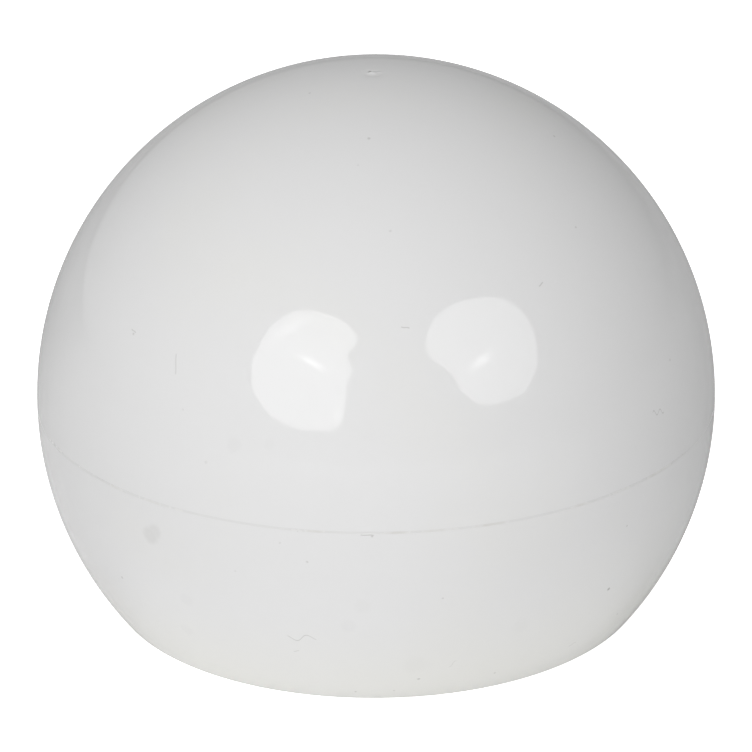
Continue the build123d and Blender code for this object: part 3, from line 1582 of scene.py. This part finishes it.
    def world(self) -> bpy.types.World:
        """White behind the object, and a soft grey room in its light and reflections.

        The room that reflections show is brighter low on the left than high on the right.

        Returns:
            The world.
        """
        world = bpy.data.worlds.new("room")
        graph = blank(world)
        path = graph.add("ShaderNodeLightPath").outputs
        where = graph.add("ShaderNodeTexCoord").outputs["Generated"]
        bright = graph.add(
            "ShaderNodeVectorMath", {0: where, 1: self.mirror_bright}, operation="DOT_PRODUCT"
        ).outputs["Value"]
        seen = graph.math("MULTIPLY_ADD", bright, self.mirror_fall, self.mirrored)
        extra = graph.math("SUBTRACT", seen, self.ambient)
        room = graph.math("MULTIPLY_ADD", path["Is Glossy Ray"], extra, self.ambient)
        behind = graph.math("MULTIPLY", path["Is Camera Ray"], self.backdrop)
        light = graph.math("MAXIMUM", room, behind)
        shade = graph.add("ShaderNodeBackground", {"Color": (1, 1, 1, 1), "Strength": light})
        graph.add("ShaderNodeOutputWorld", {"Surface": shade.outputs[0]})
        bpy.context.scene.world = world
        return world

    def camera(self) -> bpy.types.Object:
        """A long lens that looks a little down at the ball."""
        data = bpy.data.cameras.new("camera")
        data.sensor_width = self.sensor
        data.lens = self.lens
        data.shift_y = self.shift_up
        data.clip_start, data.clip_end = 0.05, 20.0
        camera = link(bpy.data.objects.new("camera", data))
        back = direction(0.0, self.camera_elevation)
        right = Vector((1, 0, 0))
        up = back.cross(right)
        roll = math.radians(self.camera_roll)
        leaning = right * math.cos(roll) + up * math.sin(roll)
        facing = Matrix((leaning, back.cross(leaning), back)).transposed()
        camera.rotation_euler = facing.to_euler()
        camera.location = self.sizes.centre + back * self.camera_distance * self.sizes.ball
        bpy.context.scene.camera = camera
        return camera

    def build(self) -> None:
        """Sets the studio up."""
        self.floor()
        self.world()
        for light in [*self.softboxes, *self.fills]:
            light.build(self.sizes)
            log.info("%s is lit", light.name)
        self.camera()
        bpy.context.scene.view_settings.view_transform = "Standard"


# ---- the whole cap ------------------------------------------------------------------

FIBRES = (
    Mark(MarkKind.FIBRE, -1.6, -0.35, 1.7 * MM, 0.28, turn=-3.0, sway=0.03 * MM),
    Mark(MarkKind.FIBRE, -13.4, -21.5, 3.7 * MM, 0.3, turn=8.0, sway=0.45 * MM, waves=1.4),
    Mark(MarkKind.FIBRE, -14.8, -24.9, 0.8 * MM, 0.2, turn=15.0, sway=0.05 * MM),
    Mark(MarkKind.FIBRE, 54.7, 10.1, 2.6 * MM, 0.3, turn=-10.0, sway=0.3 * MM, waves=2.0),
    Mark(MarkKind.FIBRE, -37.7, 23.6, 2.6 * MM, 0.22, turn=103.0, sway=0.05 * MM, waves=0.7),
    Mark(MarkKind.FIBRE, 5.7, 33.3, 1.0 * MM, 0.3, turn=-30.0, sway=0.15 * MM, waves=0.6),
    Mark(MarkKind.FIBRE, 35.6, 37.0, 0.9 * MM, 0.28, turn=25.0, sway=0.02 * MM),
    Mark(MarkKind.FIBRE, -49.6, 26.3, 1.0 * MM, 0.24, turn=-15.0, sway=0.04 * MM),
    Mark(MarkKind.FIBRE, 40.8, -31.1, 1.2 * MM, 0.2, turn=15.0, sway=0.08 * MM),
    Mark(MarkKind.FIBRE, 13.9, -28.5, 1.6 * MM, 0.12, turn=55.0, sway=0.12 * MM),
)

# Azimuth and elevation in degrees, size in millimetres, strength
SPECKS_AND_PIT_SHADE = (
    (-49.4, 25.8, 0.55, 0.26), (-2.2, 69.0, 0.6, 0.3), (-50.7, -18.3, 0.6, 0.3),
    (7.8, -32.0, 0.6, 0.35), (23.5, -33.3, 0.45, 0.3), (-4.6, -35.7, 0.45, 0.3),
    (3.1, -35.4, 0.4, 0.25), (77.2, 57.9, 0.45, 0.3), (52.1, 43.8, 0.4, 0.25),
    (3.9, 49.8, 0.45, 0.15), (-5.7, 62.8, 0.4, 0.12), (-11.4, -5.6, 0.45, 0.25),
    (-15.8, -2.6, 0.4, 0.15), (-12.8, -0.1, 0.35, 0.35), (-23.9, -9.1, 0.4, 0.12),
    (10.8, -12.8, 0.4, 0.2), (45.8, -7.1, 0.4, 0.25), (51.8, -28.0, 0.45, 0.3),
    (61.4, 16.8, 0.5, 0.2), (-28.9, 9.2, 0.6, 0.1), (-34.4, 16.8, 0.4, 0.12),
    (44.5, -19.3, 0.65, 0.7), (-0.8, -0.5, 0.5, 0.3), (-61.4, 78.0, 0.5, 0.25),
    # The last speck is painted shade: it darkens the walls of the gate mark's pit.
    (-155.5, 88.6, 0.6, 0.9),
)
STAINS = (
    (-40.3, -6.5, 3.0, 0.11), (-39.2, -5.4, 2.6, 0.09), (-24.0, 12.9, 2.4, 0.03),
    (-17.7, 13.8, 1.8, 0.02), (-34.7, -17.6, 2.4, 0.025), (-37.2, -25.2, 2.4, 0.025),
    (-2.6, -13.8, 2.6, 0.025), (-5.1, -18.1, 2.6, 0.025), (25.9, -21.6, 3.2, 0.018),
    (6.8, -27.9, 4.4, 0.02),
)
MARKS = FIBRES + tuple(
    Mark(kind, azimuth, elevation, size * MM, strength)
    for kind, places in ((MarkKind.SPECK, SPECKS_AND_PIT_SHADE), (MarkKind.STAIN, STAINS))
    for azimuth, elevation, size, strength in places
)


def main() -> None:
    """Builds the cap piece by piece, then the studio."""
    logging.basicConfig(level=logging.INFO, format="%(name)s: %(message)s")
    sizes = CapSizes.from_frame(frame["record"])
    shell = GlossPlastic("gloss shell plastic", sizes, MARKS).material()
    UpperShell(sizes).place(shell)
    LowerShell(sizes).place(shell)
    PostSocket(sizes).place(SatinPlastic("satin socket plastic", sizes).material())
    SeamCement(sizes).place(SetCement("set cement").material())
    Studio(sizes).build()


if __name__ == "__main__":
    main()
